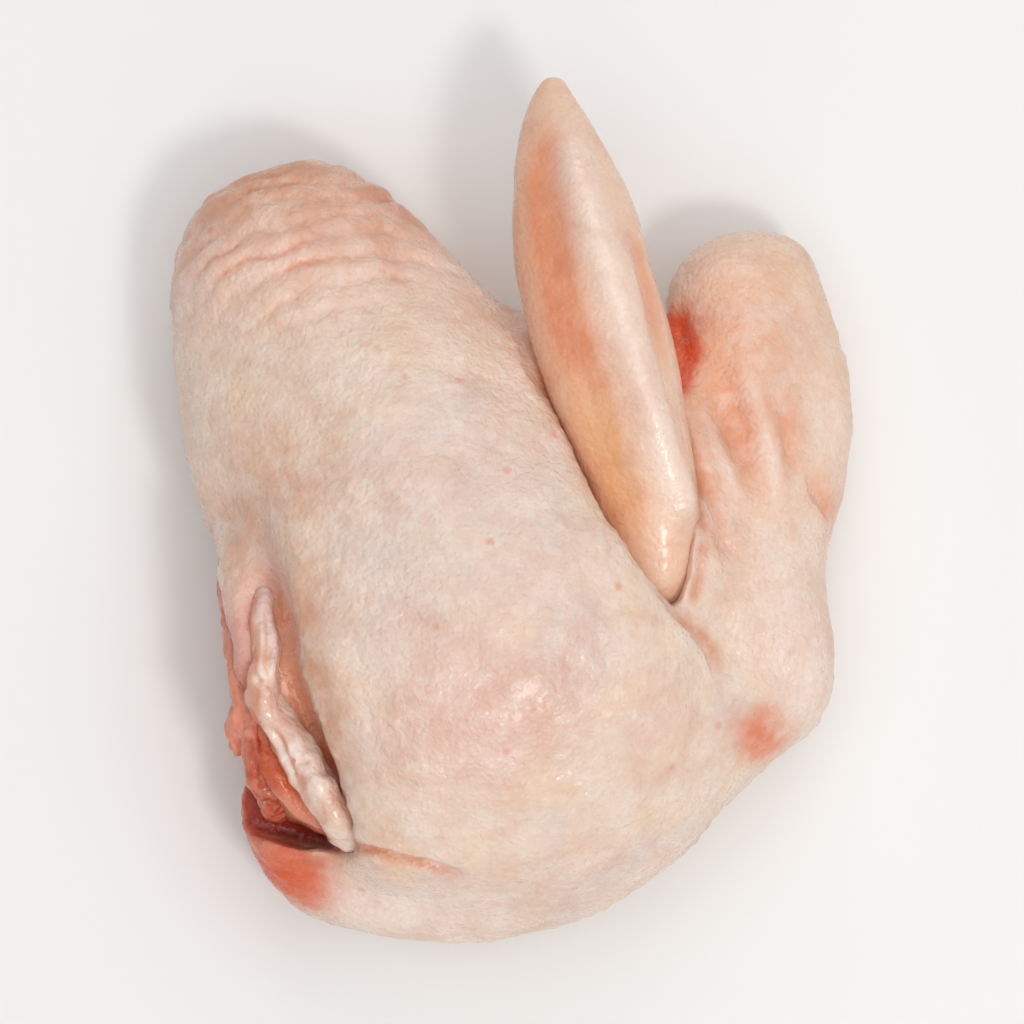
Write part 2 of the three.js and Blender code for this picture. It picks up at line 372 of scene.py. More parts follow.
@dataclass(frozen=True)
class Stroke:
    """A line that is pressed into the surface, or raised from it, seen from above."""

    path: Plan
    width: float
    depth: float
    lips: float = 0.25
    fade: float = 0.2

    def reach(self, clay: Clay) -> tuple[np.ndarray, np.ndarray]:
        """Where the stroke lies on a surface.

        Args:
            clay: the surface.

        Returns:
            Each point's distance from the stroke, and the stroke's strength there.
        """
        line = clay.drop(smooth_line(np.array(self.path, float), 16))
        room = 4 * self.width + 3
        near = np.all((clay.points > line.min(0) - room) & (clay.points < line.max(0) + room), axis=1)
        distance = np.full(clay.count, FAR_OFF)
        strength = np.zeros(clay.count)
        apart = np.linalg.norm(clay.points[near][:, None] - line[None], axis=2)
        share = apart.argmin(1) / (len(line) - 1)
        distance[near] = apart.min(1)
        strength[near] = ramp(0, self.fade, share) * (1 - ramp(1 - self.fade, 1, share))
        return distance, strength

    def press(self, clay: Clay) -> None:
        """Press the stroke into a surface, with small lips on both sides.

        Args:
            clay: the surface.
        """
        distance, strength = self.reach(clay)
        groove = np.exp(-((distance / self.width) ** 2))
        lip = np.exp(-(((distance - 2 * self.width) / self.width) ** 2))
        clay.push(strength * self.depth * (self.lips * lip - groove))

    def mask(self, clay: Clay, width: float) -> np.ndarray:
        """How near each point is to the stroke.

        Args:
            clay: the surface.
            width: how wide the mask is.

        Returns:
            1 on the stroke, 0 away from it.
        """
        distance, strength = self.reach(clay)
        return strength * np.exp(-((distance / width) ** 2))


@dataclass(frozen=True)
class Lobe:
    """A form of flesh along a line, as a run of flattened balls that melt into one.

    Each point of the line is x, y, z and the width of the form there, in millimetres.
    """

    line: tuple[tuple[float, float, float, float], ...]
    flatness: float = 1.0
    balls: int = 30

    def stations(self) -> list[tuple[np.ndarray, np.ndarray]]:
        """Spread the balls along the line.

        Returns:
            Their middles and their radii along the three axes, in millimetres.
        """
        fine = smooth_line(np.array(self.line, float), 40)
        picked = np.linspace(0, len(fine) - 1, self.balls).round().astype(int)
        shape = np.array((1.0, 1.0, self.flatness))
        return [(row[:3], row[3] / 2 * shape) for row in fine[picked]]

    def add(self) -> list[bpy.types.Object]:
        """Add the balls to the scene.

        Returns:
            The balls as separate objects.
        """
        made = []
        for middle, radii in self.stations():
            bpy.ops.mesh.primitive_uv_sphere_add(
                segments=24, ring_count=14, radius=MM, location=(middle - MIDDLE) * MM, scale=radii
            )
            made.append(bpy.context.object)
        return made

    def distance(self, clay: Clay) -> np.ndarray:
        """How far each point of a surface is outside the lobe, negative inside it.

        Args:
            clay: the surface.

        Returns:
            The distance in millimetres.
        """
        nearest = np.full(clay.count, FAR_OFF)
        for middle, radii in self.stations():
            outside = (np.linalg.norm((clay.points - middle) / radii, axis=1) - 1) * radii[0]
            nearest = np.minimum(nearest, outside)
        return nearest


def creased(phase: np.ndarray, sharpness: float) -> np.ndarray:
    """Even creases: 1 at each whole number of the phase, 0 half-way between."""
    return 1 - np.abs(np.sin(np.pi * phase)) ** sharpness


def nearest_of(strokes: tuple[Stroke, ...], clay: Clay, width: float) -> np.ndarray:
    """How near each point is to the nearest of some strokes, 1 on it and 0 away from it."""
    return np.max([stroke.mask(clay, width) for stroke in strokes], axis=0)


def melt(balls: list[bpy.types.Object], name: str, voxel: float, rounds: int) -> bpy.types.Object:
    """Join balls into one smooth skin.

    Args:
        balls: the objects to join.
        name: the new piece's name.
        voxel: the mesh size in millimetres.
        rounds: how often the skin is smoothed.

    Returns:
        The piece.
    """
    deselect_all()
    for ball in balls:
        ball.select_set(True)
    bpy.context.view_layer.objects.active = balls[0]
    bpy.ops.object.join()
    piece = bpy.context.object
    piece.name = piece.data.name = name
    bpy.ops.object.transform_apply(location=True, rotation=True, scale=True)
    apply_modifier(piece, "REMESH", mode="VOXEL", voxel_size=voxel * MM, use_smooth_shade=True)
    apply_modifier(piece, "SMOOTH", factor=0.5, iterations=rounds)
    return piece


def tinted(clay: Clay, base: Tone, layers: list[tuple[np.ndarray, Tone]]) -> np.ndarray:
    """Lay colours over each other.

    Args:
        clay: the surface.
        base: the colour underneath.
        layers: masks and the colours that they let through, from first to last.

    Returns:
        Linear RGBA for each point.
    """
    colour = np.tile(base.linear(), (clay.count, 1))
    for mask, tone in layers:
        share = np.clip(mask, 0, 1)[:, None]
        colour = colour * (1 - share) + np.array(tone.linear()) * share
    return colour


class Nodes:
    """Places shader nodes in a tree and links them."""

    def __init__(self, tree: bpy.types.NodeTree) -> None:
        """Take the tree.

        Args:
            tree: the node tree that the nodes go into.
        """
        self.tree = tree

    def add(self, kind: str, *values: object, **named: object) -> bpy.types.Node:
        """Add a node.

        Args:
            kind: Blender's name of the node type.
            values: what its first inputs get, values or sockets to link.
            named: what other inputs get, by name; a name in lower case sets a property
                of the node instead.

        Returns:
            The node.
        """
        node = self.tree.nodes.new(kind)
        for name, value in named.items():
            if name[0].islower():
                setattr(node, name, value)
        for n, value in enumerate(values):
            self.put(node.inputs[n], value)
        for name, value in named.items():
            if not name[0].islower():
                self.put(node.inputs[name], value)
        return node

    def put(self, socket: bpy.types.NodeSocket, value: object) -> None:
        """Set an input or link an output to it.

        Args:
            socket: the input.
            value: its value, or the output socket to link.
        """
        if isinstance(value, bpy.types.NodeSocket):
            self.tree.links.new(value, socket)
        else:
            socket.default_value = value

    def mix(self, share: object, first: object, second: object, blend: str = "MIX") -> bpy.types.NodeSocket:
        """Mix two colours.

        Args:
            share: how much of the second colour shows.
            first: the first colour.
            second: the second colour.
            blend: Blender's name of the blend type.

        Returns:
            The mixed colour's socket.
        """
        node = self.add("ShaderNodeMix", share, data_type="RGBA", blend_type=blend, clamp_factor=True)
        self.put(node.inputs[6], first)
        self.put(node.inputs[7], second)
        return node.outputs[2]

    def maths(self, operation: str, first: object, second: object = 0.0) -> bpy.types.NodeSocket:
        """Work out a value from two.

        Args:
            operation: Blender's name of the operation.
            first: the first value or socket.
            second: the second value or socket.

        Returns:
            The result's socket.
        """
        return self.add("ShaderNodeMath", first, second, operation=operation).outputs[0]

    def times(self, first: object, second: object) -> bpy.types.NodeSocket:
        """One value or socket times another."""
        return self.maths("MULTIPLY", first, second)

    def spread(
        self, value: object, low: float, high: float, to_low: float, to_high: float
    ) -> bpy.types.NodeSocket:
        """Map a range of values to another, with soft ends.

        Args:
            value: the value or socket.
            low: where the range starts.
            high: where it ends.
            to_low: the result at its start.
            to_high: the result at its end.

        Returns:
            The result's socket.
        """
        ends = (low, high, to_low, to_high)
        node = self.add("ShaderNodeMapRange", value, *ends, interpolation_type="SMOOTHSTEP")
        return node.outputs[0]


class SkinGroups:
    """The effects that all of the wing's finishes share, as node groups."""

    def __init__(self) -> None:
        """Build each group once."""
        self.mottle = self._mottle()
        self.grain = self._grain()

    def _group(self, name: str, inputs: tuple[tuple[str, float], ...], outputs: tuple[str, ...]) -> tuple:
        """Start a group.

        Args:
            name: its name.
            inputs: the names and first values of its number inputs.
            outputs: the names of its number outputs.

        Returns:
            The group, its helper, its input node and its output node.
        """
        tree = bpy.data.node_groups.new(name, "ShaderNodeTree")
        tree.interface.new_socket("Vector", in_out="INPUT", socket_type="NodeSocketVector")
        for label, value in inputs:
            socket = tree.interface.new_socket(label, in_out="INPUT", socket_type="NodeSocketFloat")
            socket.default_value = value
        for label in outputs:
            tree.interface.new_socket(label, in_out="OUTPUT", socket_type="NodeSocketFloat")
        entry = tree.nodes.new("NodeGroupInput")
        exit_node = tree.nodes.new("NodeGroupOutput")
        return tree, Nodes(tree), entry, exit_node

    def _mottle(self) -> bpy.types.NodeTree:
        """Soft blotches of fat and blood under the skin, small spots and pores.

        Returns:
            The group.
        """
        tree, nodes, entry, exit_node = self._group(
            "flesh mottle", (("Size", 250.0),), ("Fat", "Blood", "Spots", "Pores")
        )
        vector, size = entry.outputs["Vector"], entry.outputs["Size"]
        fat = nodes.add("ShaderNodeTexNoise", Vector=vector, Scale=size, Detail=3.0, Roughness=0.6)
        wide = nodes.times(size, 0.55)
        shifted = nodes.add("ShaderNodeVectorMath", vector, (0.31, 0.17, 0.53), operation="ADD")
        blood = nodes.add(
            "ShaderNodeTexNoise",
            Vector=shifted.outputs[0],
            Scale=wide,
            Detail=3.0,
            Roughness=0.65,
            Distortion=0.4,
        )
        cells = nodes.add("ShaderNodeTexVoronoi", Vector=vector, Scale=nodes.times(size, 0.9))
        spots = nodes.spread(cells.outputs["Distance"], 0.05, 0.16, 1.0, 0.0)
        rare = nodes.spread(cells.outputs["Color"], 0.62, 0.7, 0.0, 1.0)
        nodes.put(exit_node.inputs["Fat"], nodes.spread(fat.outputs[0], 0.42, 0.66, 0.0, 1.0))
        nodes.put(exit_node.inputs["Blood"], nodes.spread(blood.outputs[0], 0.45, 0.7, 0.0, 1.0))
        nodes.put(exit_node.inputs["Spots"], nodes.times(spots, rare))
        weave = nodes.add("ShaderNodeTexVoronoi", Vector=vector, Scale=nodes.times(size, 4.2))
        gaps = nodes.spread(weave.outputs["Distance"], 0.25, 0.75, 0.0, 1.0)
        nodes.put(exit_node.inputs["Pores"], gaps)
        return tree

    def _grain(self) -> bpy.types.NodeTree:
        """The finest relief of wet skin: tiny rounded cells of uneven size.

        Returns:
            The group.
        """
        tree, nodes, entry, exit_node = self._group("skin grain", (("Size", 1400.0),), ("Height",))
        vector, size = entry.outputs["Vector"], entry.outputs["Size"]
        bend = nodes.add("ShaderNodeTexNoise", Vector=vector, Scale=700.0, Detail=0.0)
        offset = nodes.add("ShaderNodeVectorMath", bend.outputs[1], operation="SCALE", Scale=0.001)
        bent = nodes.add("ShaderNodeVectorMath", vector, offset.outputs[0], operation="ADD")
        cells = nodes.add("ShaderNodeTexVoronoi", Vector=bent.outputs[0], Scale=size)
        finer = nodes.times(size, 1.3)
        fine = nodes.add("ShaderNodeTexNoise", Vector=vector, Scale=finer, Detail=1.0)
        round_cells = nodes.maths("SUBTRACT", 1.0, nodes.maths("POWER", cells.outputs["Distance"], 2.0))
        height = nodes.maths("ADD", nodes.times(round_cells, 0.5), fine.outputs[0])
        nodes.put(exit_node.inputs["Height"], height)
        return tree


@dataclass(frozen=True)
class FleshFinish:
    """Moist skin, fat or meat, tinted by the regions that are painted on the mesh."""

    name: str
    fat: Tone = Tone.WHITE_FAT
    blood: Tone = Tone.PINK
    fat_share: float = 0.35
    blood_share: float = 0.3
    spot_share: float = 0.35
    pore_share: float = 0.1
    mottle_size: float = 260.0
    grain_size: float = 1500.0
    grain_depth: float = 0.00022
    roughness: tuple[float, float] = (0.22, 0.38)
    wetness: float = 0.15
    film_roughness: float = 0.16
    refraction: float = 1.42
    raised_share: float = 0.25
    scatter: float = 0.35
    scatter_radii: Place = (1.0, 0.4, 0.25)
    scatter_depth: float = 0.003

    def material(self, groups: SkinGroups) -> bpy.types.Material:
        """Build the material.

        Args:
            groups: the shared effects.

        Returns:
            The material.
        """
        material = bpy.data.materials.new(self.name)
        material.use_nodes = True
        tree = material.node_tree
        nodes = Nodes(tree)
        shader = tree.nodes["Principled BSDF"]
        shader.subsurface_method = "BURLEY"
        place = nodes.add("ShaderNodeTexCoord").outputs["Object"]

        mottle = nodes.add("ShaderNodeGroup", node_tree=groups.mottle, Vector=place, Size=self.mottle_size)
        painted = ("tint", "bump", "skin")
        tint, bump, skin = (nodes.add("ShaderNodeAttribute", attribute_name=name) for name in painted)

        fat = nodes.times(nodes.times(mottle.outputs["Fat"], self.fat_share), skin.outputs["Fac"])
        colour = nodes.mix(fat, tint.outputs["Color"], self.fat.linear())
        blood = nodes.times(mottle.outputs["Blood"], self.blood_share)
        colour = nodes.mix(blood, colour, self.blood.linear(), "MULTIPLY")
        spots = nodes.times(mottle.outputs["Spots"], self.spot_share)
        colour = nodes.mix(spots, colour, Tone.SPOT.linear())
        pore_share = nodes.times(skin.outputs["Fac"], self.pore_share)
        pores = nodes.times(mottle.outputs["Pores"], pore_share)
        colour = nodes.mix(pores, colour, Tone.SALMON.linear())
        raised = nodes.times(bump.outputs["Fac"], self.raised_share)
        colour = nodes.mix(raised, colour, Tone.WHITE_FAT.linear())

        grain = nodes.add("ShaderNodeGroup", node_tree=groups.grain, Vector=place, Size=self.grain_size)
        height = grain.outputs["Height"]
        relief = nodes.add("ShaderNodeBump", Height=height, Strength=0.8, Distance=self.grain_depth)
        smooth, rough = self.roughness
        for name, value in (
            ("Base Color", colour),
            ("Normal", relief.outputs["Normal"]),
            ("Roughness", nodes.spread(mottle.outputs["Fat"], 0.0, 1.0, rough, smooth)),
            ("IOR", self.refraction),
            ("Coat Weight", self.wetness),
            ("Coat Roughness", self.film_roughness),
            ("Subsurface Weight", self.scatter),
            ("Subsurface Radius", self.scatter_radii),
            ("Subsurface Scale", self.scatter_depth),
        ):
            nodes.put(shader.inputs[name], value)
        return material


class Dressed:
    """What the wing's pieces share: a finish that each is dressed in."""

    finish: FleshFinish

    def dress(self, piece: bpy.types.Object, groups: SkinGroups) -> None:
        """Give the piece its finish and fix it to the wing.

        Args:
            piece: the piece as it was built.
            groups: the effects that the finishes share.
        """
        piece.data.materials.clear()
        piece.data.materials.append(self.finish.material(groups))
        make_active(piece)
        bpy.ops.object.shade_smooth()
        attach(piece, BODY)
        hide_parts(NODE)
        LOG.info("%s: %d faces", piece.name, len(piece.data.polygons))


@dataclass
class GooseBumps:
    """The follicles of the plucked skin: soft bumps that stand in an even crowd.

    The smallest bump is given as a share of the height, and so is how far the skin
    between the bumps is sunk.
    """

    pitch: float = 1.7
    radius: float = 0.8
    height: float = 0.26
    smallest: float = 0.3
    sunk: float = 0.25
    seed: int = 7

    def centres(self, clay: Clay) -> np.ndarray:
        """Spread the follicles over a surface, no two closer than the pitch.

        Args:
            clay: the surface.

        Returns:
            Their places in millimetres.
        """
        draw = np.random.default_rng(self.seed)
        cells: dict[tuple[int, int, int], list[np.ndarray]] = {}
        chosen = []
        for n in draw.permutation(clay.count):
            point = clay.points[n]
            i, j, k = (int(v) for v in np.floor(point / self.pitch))
            close = (
                np.sum((point - other) ** 2) < self.pitch**2
                for a in (i - 1, i, i + 1)
                for b in (j - 1, j, j + 1)
                for c in (k - 1, k, k + 1)
                for other in cells.get((a, b, c), ())
            )
            if not any(close):
                cells.setdefault((i, j, k), []).append(point)
                chosen.append(point)
        return np.array(chosen)

    def raise_on(self, clay: Clay, mask: np.ndarray) -> np.ndarray:
        """Raise the bumps.

        Args:
            clay: the surface.
            mask: how strong they are at each point.

        Returns:
            1 on a bump's top and 0 between bumps, for the finish.
        """
        centres = self.centres(clay)
        tree = KDTree(len(centres))
        for n, centre in enumerate(centres):
            tree.insert(centre, n)
        tree.balance()
        size = np.random.default_rng(self.seed + 1).uniform(self.smallest, 1.0, len(centres))
        found = [tree.find(point) for point in clay.points]
        distance = np.array([f[2] for f in found])
        share = size[np.array([f[1] for f in found])]
        bump = np.clip(1 - (distance / self.radius) ** 2, 0, 1) ** 2 * share
        clay.push(mask * self.height * (bump - self.sunk))
        return bump * mask


@dataclass
class Tip(Dressed):
    """The pointed tip: a slim keel of smooth skin, folded up over the forearm."""

    finish: FleshFinish = FleshFinish(
        "tip skin", fat_share=0.15, mottle_size=320.0, spot_share=0.0, grain_depth=0.00014, wetness=0.4
    )
    voxel: float = 0.3
    body: Lobe = Lobe(
        (
            (13.2, -5.2, 20.2, 9.0), (12.8, 0.0, 21.3, 10.5), (10.4, 8.5, 22.6, 12.6),
            (8.7, 14.5, 23.0, 13.8), (7.2, 20.0, 22.9, 14.3), (5.9, 25.0, 22.4, 14.1),
            (5.0, 30.0, 21.6, 13.2), (4.0, 34.5, 20.6, 10.9), (3.3, 38.7, 19.5, 8.2),
            (2.9, 42.4, 18.4, 5.6), (2.8, 44.8, 17.7, 3.4),
        ),
        flatness=0.86, balls=60,
    )
    ridge: Stroke = Stroke(
        (
            (17.0, -3), (15.8, 1.8), (14.2, 6), (12.3, 11.5), (11.2, 14.5), (9.1, 22), (7.2, 27.6),
            (5.3, 34.7), (3.4, 43),
        ),
        width=1.9, depth=-1.2, lips=0.0, fade=0.12,
    )
    channel: Stroke = Stroke(
        ((12.2, -5), (9.4, 3.0), (6.2, 12.5), (3.8, 20.5), (2.4, 28), (1.6, 36), (2.0, 42)),
        width=2.4, depth=0.6, lips=0.0,
    )
    side_groove: Stroke = Stroke(
        ((10.2, 31), (11.6, 25), (13.2, 18), (14.8, 11)), width=0.9, depth=0.4, lips=0.2, fade=0.4
    )

    def build(self) -> bpy.types.Object:
        """Melt the tip out of balls and sculpt its ridge, facet and fine skin.

        Returns:
            The piece.
        """
        piece = melt(self.body.add(), "wing_tip", self.voxel, 6)
        clay = Clay(piece)
        self.ridge.press(clay)
        self.channel.press(clay)
        self.side_groove.press(clay)
        clay.push(0.3 * clay.noise(8, 3.3) + 0.1 * clay.noise(3, 6.6))
        clay.smooth(3)
        self._rib(clay)
        fine = GooseBumps(pitch=1.4, radius=0.65, height=0.05, seed=19)
        fine.raise_on(clay, ramp(-0.2, 0.6, clay.normals[:, 2]))
        clay.settle_tree()
        self._paint(clay)
        return piece

    def _rib(self, clay: Clay) -> None:
        """Press fine cross wrinkles into the skin that is drawn over the ridge.

        Args:
            clay: the surface.
        """
        pitch = 0.95
        phase = clay.points[:, 1] / pitch + 1.2 * clay.noise(3, 5.5) - 0.35 * clay.points[:, 0]
        rib = np.sin(2 * np.pi * phase) * ramp(-0.3, 0.4, clay.noise(2.4, 9.9))
        clay.push(0.08 * rib * self.ridge.mask(clay, 2.4))
        clay.push(0.025 * clay.noise(0.9, 4.1))

    def _paint(self, clay: Clay) -> None:
        """Lay the tip's colours on it.

        Args:
            clay: the surface.
        """
        ridge = self.ridge.mask(clay, 2.6)
        channel = np.clip(1.5 * self.channel.mask(clay, 2.3), 0, 1)
        outer = ramp(0.35, 0.85, clay.normals[:, 0])
        under = 1 - ramp(-0.4, 0.2, clay.normals[:, 2])
        low = 1 - ramp(6, 17, clay.points[:, 1])
        layers = [
            (np.full(clay.count, 0.12), Tone.TAN),
            # Painted shade on the tip's left-facing side
            (0.35 * ramp(0.0, 0.7, -clay.normals[:, 0]), Tone.SALMON),
            (0.9 * channel * (1 - low), Tone.SALMON),
            (0.85 * channel * low, Tone.TAN),
            (0.4 * outer, Tone.PINK),
            # Paler skin along the ridge, with a painted highlight on it
            (0.7 * ridge, Tone.WHITE_FAT),
            (0.35 * ramp(0.0, 0.5, clay.noise(5, 17.0, (0.6, 2.0, 1.0))), Tone.PEACH),
            (0.6 * self.side_groove.mask(clay, 1.2), Tone.SALMON),
            (0.5 * under, Tone.SALMON),
        ]
        clay.finish(tinted(clay, Tone.PEACH, layers), bump=0.0, skin=0.4)


@dataclass
class FatStrip(Dressed):
    """The folded strip of fat that stands in the shoulder cut."""

    finish: FleshFinish = FleshFinish(
        "wet fat", fat_share=0.3, spot_share=0.0, wetness=0.7, roughness=(0.25, 0.4)
    )
    voxel: float = 0.22
    body: Lobe = Lobe(
        (
            (-26.9, -6.0, 20.0, 1.6), (-27.0, -9.3, 22.2, 2.6), (-26.7, -13.3, 22.8, 2.9),
            (-26.8, -16.5, 23.0, 3.2), (-26.5, -19.8, 22.6, 3.6), (-25.0, -22.0, 21.9, 3.7),
            (-23.4, -24.4, 22.4, 4.0), (-21.9, -27.0, 23.0, 4.2), (-20.5, -29.2, 23.0, 4.3),
            (-19.0, -31.4, 21.9, 4.1), (-17.6, -33.0, 20.0, 3.4),
        ),
        flatness=1.7, balls=44,
    )
    knobs: tuple[Lobe, ...] = (
        Lobe(((-27.6, -18.6, 22.8, 2.2), (-27.0, -20.2, 22.6, 2.6)), flatness=1.2, balls=4),
        Lobe(((-24.6, -21.6, 22.6, 2.4), (-23.6, -23.4, 22.0, 2.6)), flatness=1.2, balls=5),
        Lobe(((-22.0, -27.4, 23.9, 2.6), (-20.8, -28.6, 24.1, 2.8)), flatness=1.2, balls=5),
    )
    folds: tuple[Stroke, ...] = (
        Stroke(
            ((-26.6, -9), (-26.2, -13), (-26.3, -16), (-25.6, -18.6)),
            width=0.4, depth=0.55, fade=0.3,
        ),
        Stroke(
            ((-26.6, -21.6), (-25.2, -23.6), (-24.2, -26), (-22.9, -28.4)),
            width=0.45, depth=0.6, fade=0.3,
        ),
        Stroke(((-28.0, -17.2), (-26.6, -17.8), (-25.2, -18.2)), width=0.4, depth=0.5, fade=0.3),
        Stroke(((-25.0, -25.6), (-23.4, -25.6), (-21.6, -25.9)), width=0.4, depth=0.5, fade=0.3),
    )

    def build(self) -> bpy.types.Object:
        """Melt the strip out of balls and crumple it.

        Returns:
            The piece.
        """
        balls = [ball for lobe in (self.body, *self.knobs) for ball in lobe.add()]
        piece = melt(balls, "fat_strip", self.voxel, 4)
        clay = Clay(piece)
        clay.push(0.5 * clay.noise(3.2, 2.9) + 0.3 * clay.noise(1.6, 5.9))
        for fold in self.folds:
            fold.press(clay)
        clay.push(0.08 * clay.noise(0.8, 1.3))
        clay.smooth(1)
        _, y, z = clay.points.T
        layers = [
            (0.8 * ramp(-0.2, 0.4, clay.noise(3.5, 11.0)), Tone.PINK),
            (0.6 * ramp(-17, -12, y), Tone.MAUVE),
            # Painted shade on the strip's left-facing side
            (0.8 * ramp(0.3, 0.9, -clay.normals[:, 0]), Tone.SALMON),
            (0.5 * (1 - ramp(-31.0, -28.5, y)), Tone.PEACH),
            (0.8 * (1 - ramp(13.0, 19.0, z)), Tone.MEAT),
            # Painted shade in the strip's folds
            (ramp(0.03, 0.3, clay.hollows(6)), Tone.RAW_PINK),
        ]
        clay.finish(tinted(clay, Tone.WHITE_FAT, layers), bump=0.0, skin=0.4)
        return piece


@dataclass
class CutMeat(Dressed):
    """The bundles of muscle that show in the shoulder cut, below the strip of fat."""

    finish: FleshFinish = FleshFinish(
        "raw meat", fat_share=0.0, spot_share=0.0, wetness=0.4, roughness=(0.34, 0.5)
    )
    voxel: float = 0.25
    bundles: tuple[Lobe, ...] = (
        Lobe(
            (
                (-29.8, -4.0, 17.0, 3.0), (-29.0, -9.5, 18.2, 5.2), (-28.2, -15.0, 19.2, 5.6),
                (-27.4, -21.0, 18.4, 5.2), (-26.6, -25.5, 14.6, 4.0),
            ),
            flatness=1.0, balls=26,
        ),
        Lobe(
            (
                (-30.8, -3.0, 10.6, 3.0), (-29.2, -8.0, 11.6, 6.0), (-27.6, -14.5, 11.6, 6.6),
                (-25.9, -21.0, 11.2, 6.4), (-26.0, -26.5, 10.4, 4.6),
            ),
            flatness=0.95, balls=26,
        ),
        Lobe(
            (
                (-27.5, -7.0, 7.0, 3.0), (-26.6, -12.0, 6.8, 4.8), (-24.9, -18.0, 6.4, 5.2),
                (-23.6, -24.0, 6.4, 4.0),
            ),
            flatness=0.9, balls=20,
        ),
        Lobe(
            (
                (-28.2, -20.5, 20.8, 2.0), (-27.6, -24.8, 20.4, 3.2), (-26.7, -28.0, 18.6, 3.2),
                (-25.8, -30.2, 15.6, 2.2),
            ),
            flatness=1.2, balls=14,
        ),
        Lobe(
            ((-29.0, -17.5, 19.6, 2.2), (-29.5, -20.8, 19.6, 3.0), (-29.6, -23.6, 18.2, 2.6)),
            flatness=1.2, balls=9,
        ),
    )

    def build(self) -> bpy.types.Object:
        """Melt the meat out of balls and draw its fibres.

        Returns:
            The piece.
        """
        balls = [ball for bundle in self.bundles for ball in bundle.add()]
        piece = melt(balls, "cut_meat", self.voxel, 3)
        clay = Clay(piece)
        fibres = clay.noise(0.7, 7.1, (1.0, 6.0, 1.0))
        lumps = 0.6 * clay.noise(3, 2.2) + 0.4 * fibres
        clay.push(lumps + 0.3 * clay.noise(1.5, 8.4) + 0.18 * clay.noise(0.8, 5.0))
        clay.smooth(1)
        x, y, z = clay.points.T
        veil = 1 - ramp(0.0, 0.12, np.abs(clay.noise(1.6, 23.0, (1.0, 3.2, 1.0))))
        layers = [
            (0.5 * ramp(-0.2, 0.5, clay.noise(4, 13.0)), Tone.DEEP_MEAT_AND_SHADE),
            (0.6 * ramp(0.0, 0.4, fibres), Tone.RAW_PINK),
            (0.45 * veil * ramp(-0.1, 0.3, clay.noise(5, 3.0)), Tone.WHITE_FAT),
            # Painted shade in the hollows between the bundles
            (0.7 * ramp(0.02, 0.35, clay.hollows(8)), Tone.DEEP_MEAT_AND_SHADE),
            (0.7 * ramp(16.5, 20, z) * ramp(-23, -17, y), Tone.MAUVE),
            (0.9 * (1 - ramp(-29.2, -28.2, x)) * ramp(13, 16, z), Tone.RAW_PINK),
        ]
        clay.finish(tinted(clay, Tone.MEAT, layers), bump=0.0, skin=0.0)
        return piece


@dataclass(frozen=True)
class Ledge:
    """An edge of flesh that stands over a lower bed, on the left of the edge's line.

    The edge is rounded. The bed reaches as far as far_side (y and x), and lies at the
    heights of floor (y and z).
    """

    edge: Plan
    floor: Plan
    far_side: Plan = ((-60, 60), (60, 60))
    roundness: float = 2.0

    def across(self, clay: Clay) -> tuple[np.ndarray, np.ndarray, np.ndarray]:
        """Where the points near the edge lie.

        Args:
            clay: the surface.

        Returns:
            The points' numbers, how far each is beyond the edge, and how far along it
            as a share.
        """
        reach = 9
        line = smooth_line(np.array(self.edge, float), 14)
        low, high = line.min(0) - reach, line.max(0) + reach
        near = np.flatnonzero(np.all((clay.points[:, :2] > low) & (clay.points[:, :2] < high), axis=1))
        apart = clay.points[near][:, None, :2] - line[None]
        closest = np.linalg.norm(apart, axis=2).argmin(1)
        along = np.gradient(line, axis=0)[closest]
        offset = apart[np.arange(len(near)), closest]
        beyond = along[:, 0] * offset[:, 1] - along[:, 1] * offset[:, 0]
        beyond /= np.linalg.norm(along, axis=1)
        inside = (closest > 0) & (closest < len(line) - 1)
        return near[inside], beyond[inside], (closest / (len(line) - 1))[inside]

    def carve(self, clay: Clay) -> None:
        """Round the edge and lower what lies beyond it.

        Args:
            clay: the surface.
        """
        near, beyond, share = self.across(clay)
        x, y, z = clay.points[near].T
        strength = ramp(0, 0.12, share) * (1 - ramp(0.85, 1, share))
        bend = np.clip(beyond / self.roundness + 1, 0, 1)
        drop = strength * self.roundness * (1 - np.sqrt(1 - bend**2)) * (1 - ramp(0, 3, beyond))
        bed = np.interp(y, *zip(*self.floor))
        lowered = np.maximum(z - drop, np.minimum(z, bed))
        in_bed = (beyond > 0) & (x < np.interp(y, *zip(*self.far_side)))
        clay.points[near, 2] = np.where(in_bed, np.minimum(z, bed), lowered)
        clay.write()

    def mask(self, clay: Clay) -> np.ndarray:
        """How much of each point lies in the bed.

        Args:
            clay: the surface.

        Returns:
            1 in the bed, 0 outside, soft between.
        """
        near, beyond, share = self.across(clay)
        inside = np.zeros(clay.count)
        inside[near] = ramp(-0.2, 0.6, beyond) * (1 - ramp(0.72, 0.98, share))
        return inside


